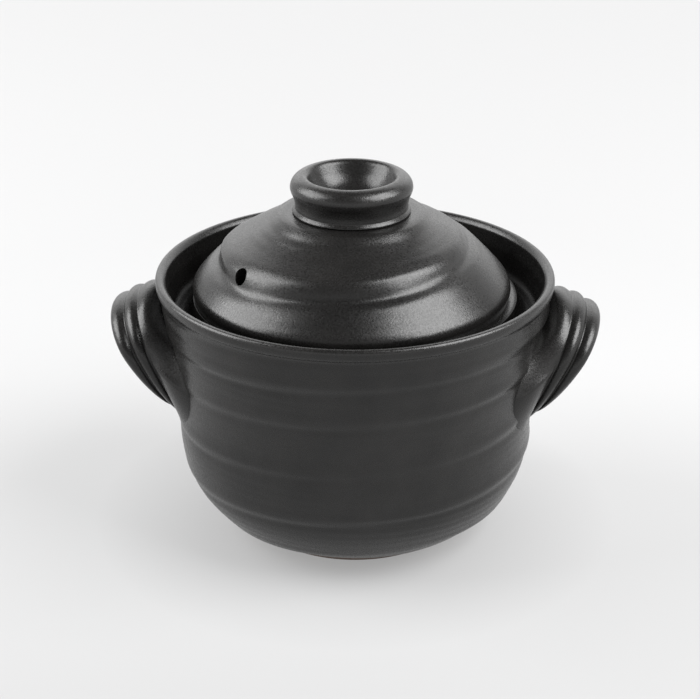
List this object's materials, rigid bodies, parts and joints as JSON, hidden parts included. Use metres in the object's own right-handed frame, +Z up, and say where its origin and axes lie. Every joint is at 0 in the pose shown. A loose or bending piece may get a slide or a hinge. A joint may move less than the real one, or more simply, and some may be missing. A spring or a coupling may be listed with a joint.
{
  "type": "lidded clay rice pot",
  "caption": "Round black-glazed clay cooking pot with ribbed ear handles, a flat inner lid and a domed outer lid with a steam hole and a cup-shaped knob.",
  "frame": {"origin": "centre of the foot ring, on the table plane", "axes": "+Z up along the pot's turning axis, ears along +X and -X, front at -Y"},
  "size_m": [0.234, 0.19, 0.1779],
  "materials": {
    "black_glaze": "satin-matte charcoal-black stoneware glaze with a fine grain",
    "inner_lid_glaze": "satin black stoneware glaze, bare clay where it rests on its seat"
  },
  "bodies": {
    "pot": {"pot_body": "black_glaze", "pot_wall": "black_glaze", "lid_seat": "black_glaze", "pot_rim": "black_glaze", "handle_left": "black_glaze", "handle_right": "black_glaze"},
    "inner_lid_set": {"inner_lid": "inner_lid_glaze", "inner_lid_knob": "inner_lid_glaze"},
    "outer_lid_set": {"outer_lid": "black_glaze", "lid_knob": "black_glaze"}
  },
  "joints": [
    {"name": "inner_lid_lift", "type": "slide", "parent": "pot", "child": "inner_lid_set", "axis": [0, 0, 1], "range_m": [0, 0.05]},
    {"name": "outer_lid_lift", "type": "slide", "parent": "inner_lid_set", "child": "outer_lid_set", "axis": [0, 0, 1], "range_m": [0, 0.06]}
  ]
}
